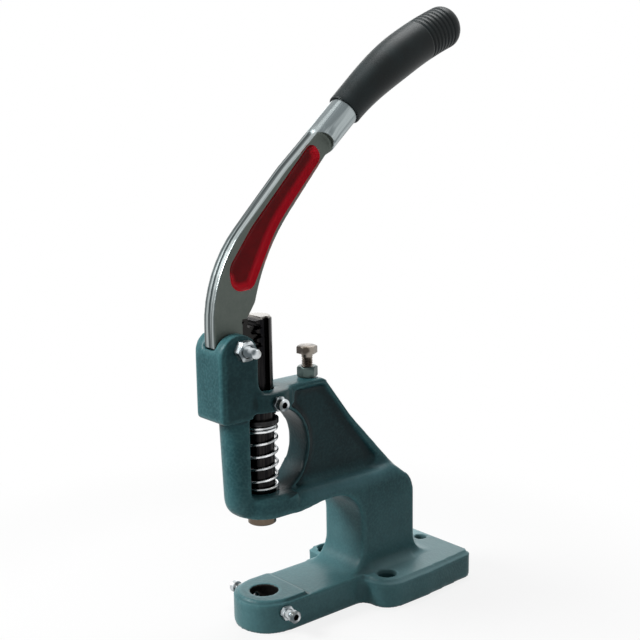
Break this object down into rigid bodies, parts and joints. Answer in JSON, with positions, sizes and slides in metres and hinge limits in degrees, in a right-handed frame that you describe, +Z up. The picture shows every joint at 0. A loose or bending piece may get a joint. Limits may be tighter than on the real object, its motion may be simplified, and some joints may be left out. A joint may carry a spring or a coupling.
{
  "type": "hand lever eyelet press",
  "caption": "Bench eyelet press: cast C frame on a lobed foot, rack plunger with return spring, and a hand lever with a toothed sector and a black grip.",
  "frame": {"origin": "centre of the die bore at the underside of the foot", "axes": "+Z up along the die bore and plunger axis, front of the press towards -Y, pivot parallel to X"},
  "size_m": [0.0948, 0.232, 0.4302],
  "materials": {
    "enamelled_casting": "dark blue-green hammered enamel on cast iron",
    "plunger_steel": "dark burnished steel, ground top",
    "spring_steel": "bright zinc-plated wire",
    "zinc_steel": "bright zinc plating",
    "lever_steel": "bright plated steel with red paint in the recess",
    "grip_rubber": "satin black",
    "stop_steel": "yellowed zinc plating",
    "dark_nut": "darkened steel"
  },
  "bodies": {
    "frame": {"frame_casting": "enamelled_casting", "pivot_bolt": "zinc_steel", "pivot_nut": "zinc_steel", "stop_lock_nut": "dark_nut", "guide_screw": "zinc_steel", "guide_lock_nut": "zinc_steel", "die_clamp_nut_near": "zinc_steel", "die_clamp_nut_far": "zinc_steel", "return_spring": "spring_steel"},
    "ram": {"plunger": "plunger_steel", "spring_collar": "zinc_steel", "collar_pin": "zinc_steel"},
    "hand_lever": {"lever": "lever_steel", "lever_grip": "grip_rubber"},
    "lower_stop": {"stop_bolt": "stop_steel"},
    "clamp_near": {"die_clamp_screw_near": "zinc_steel"},
    "clamp_far": {"die_clamp_screw_far": "zinc_steel"}
  },
  "joints": [
    {"name": "lever_swing", "type": "hinge", "parent": "frame", "child": "hand_lever", "pos_m": [0, -0.025, 0.205], "axis": [-1, 0, 0], "range_deg": [0, 56], "stiffness_Nm_per_rad": 1.1, "springref_deg": -63.03},
    {"name": "plunger_slide", "type": "slide", "parent": "frame", "child": "ram", "axis": [0, 0, -1], "range_m": [0, 0.0196], "stiffness_N_per_m": 100, "springref_m": -0.06, "deforming": ["return_spring"]},
    {"name": "stop_bolt_adjust", "type": "slide", "parent": "frame", "child": "lower_stop", "axis": [0, 0, 1], "range_m": [-0.008, 0.0085]},
    {"name": "clamp_near_adjust", "type": "slide", "parent": "frame", "child": "clamp_near", "axis": [-1, 0, 0], "range_m": [-0.0036, 0.0036]},
    {"name": "clamp_far_adjust", "type": "slide", "parent": "frame", "child": "clamp_far", "axis": [1, 0, 0], "range_m": [-0.0036, 0.0036]}
  ],
  "couplings": [
    {"joint": "plunger_slide", "follows": "lever_swing", "m_per_rad": 0.02}
  ]
}
